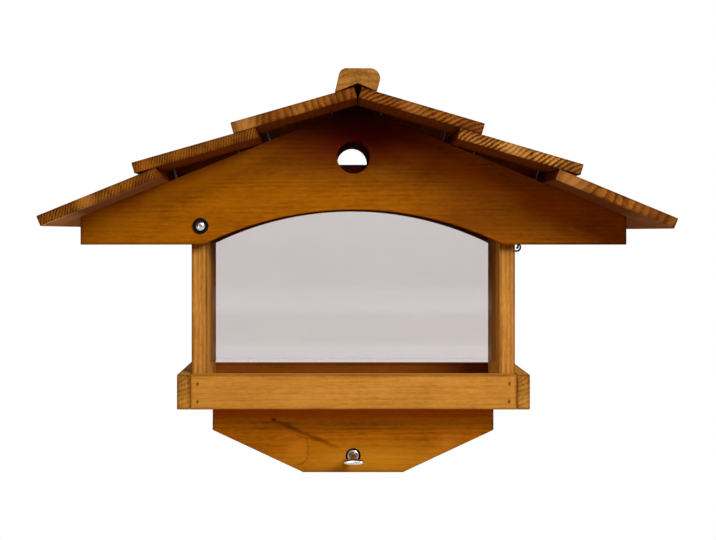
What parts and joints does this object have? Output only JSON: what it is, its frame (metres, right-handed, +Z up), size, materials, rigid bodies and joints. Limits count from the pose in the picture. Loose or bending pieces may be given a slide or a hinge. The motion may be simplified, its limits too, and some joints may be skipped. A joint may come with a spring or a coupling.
{
  "type": "bird feeding house",
  "caption": "Wooden table-style bird feeder with a lapped plank roof that tilts up on a side pivot, clear-sided seed silo, railed tray and a square pole clamp below.",
  "frame": {"origin": "middle of the footprint, on the underside of the pole clamp's bracket", "axes": "+X right across the width towards the latch, +Y to the back along the ridge, +Z up"},
  "size_m": [0.5983, 0.2606, 0.3947],
  "materials": {
    "rail_wood": "oiled spruce, satin",
    "wall_wood": "oiled spruce, satin",
    "floor_wood": "oiled spruce, satin",
    "bracket_wood": "oiled spruce, satin",
    "gable_wood": "oiled spruce, satin",
    "plank_wood": "oiled spruce, satin",
    "ridge_wood": "oiled spruce, satin",
    "dowel_wood": "bare beech",
    "pane_acrylic": "clear acrylic, faintly grey",
    "zinc_steel": "bright zinc plated",
    "dark_steel": "blackened steel, satin"
  },
  "bodies": {
    "base": {"tray_floor": "floor_wood", "tray_rail_front": "rail_wood", "tray_rail_rear": "rail_wood", "tray_rail_left": "rail_wood", "tray_rail_right": "rail_wood", "post_front_left": "wall_wood", "post_front_right": "wall_wood", "post_rear_left": "wall_wood", "post_rear_right": "wall_wood", "side_panel_left": "wall_wood", "side_panel_right": "wall_wood", "bracket_cheek_front": "bracket_wood", "bracket_cheek_rear": "bracket_wood", "bracket_block_left": "bracket_wood", "bracket_block_right": "bracket_wood", "wall_dowels": "dowel_wood", "rail_brads": "dark_steel", "bracket_screws": "zinc_steel", "floor_screws": "zinc_steel", "clamp_insert": "zinc_steel", "pivot_screws": "zinc_steel", "pivot_washers": "dark_steel", "latch_ring": "dark_steel"},
    "roof": {"gable_front": "gable_wood", "gable_rear": "gable_wood", "spreader_beam": "gable_wood", "rest_batten": "gable_wood", "plank_left_lower": "plank_wood", "plank_left_middle": "plank_wood", "plank_left_upper": "plank_wood", "plank_right_lower": "plank_wood", "plank_right_middle": "plank_wood", "plank_right_upper": "plank_wood", "ridge_cap": "ridge_wood", "roof_dowels": "dowel_wood", "roof_nails": "zinc_steel", "ridge_screws": "zinc_steel", "hook_pin": "dark_steel"},
    "front_pane": {"pane_front": "pane_acrylic"},
    "rear_pane": {"pane_rear": "pane_acrylic"},
    "hook": {"latch_hook": "dark_steel"},
    "clamp_screw": {"wing_screw": "zinc_steel"}
  },
  "joints": [
    {"name": "roof_tilt", "type": "hinge", "parent": "base", "child": "roof", "pos_m": [-0.1505, 0, 0.248], "axis": [0, -1, 0], "range_deg": [0, 75]},
    {"name": "front_pane_lift", "type": "slide", "parent": "base", "child": "front_pane", "axis": [0, 0, 1], "range_m": [0, 0.022]},
    {"name": "rear_pane_lift", "type": "slide", "parent": "base", "child": "rear_pane", "axis": [0, 0, 1], "range_m": [0, 0.022]},
    {"name": "hook_swing", "type": "hinge", "parent": "roof", "child": "hook", "pos_m": [0.17, -0.0054, 0.2723], "axis": [1, 0, 0], "range_deg": [-55, 9]},
    {"name": "clamp_turn", "type": "hinge", "parent": "base", "child": "clamp_screw", "pos_m": [0, -0.033, 0.0165], "axis": [0, 1, 0], "continuous": true}
  ]
}
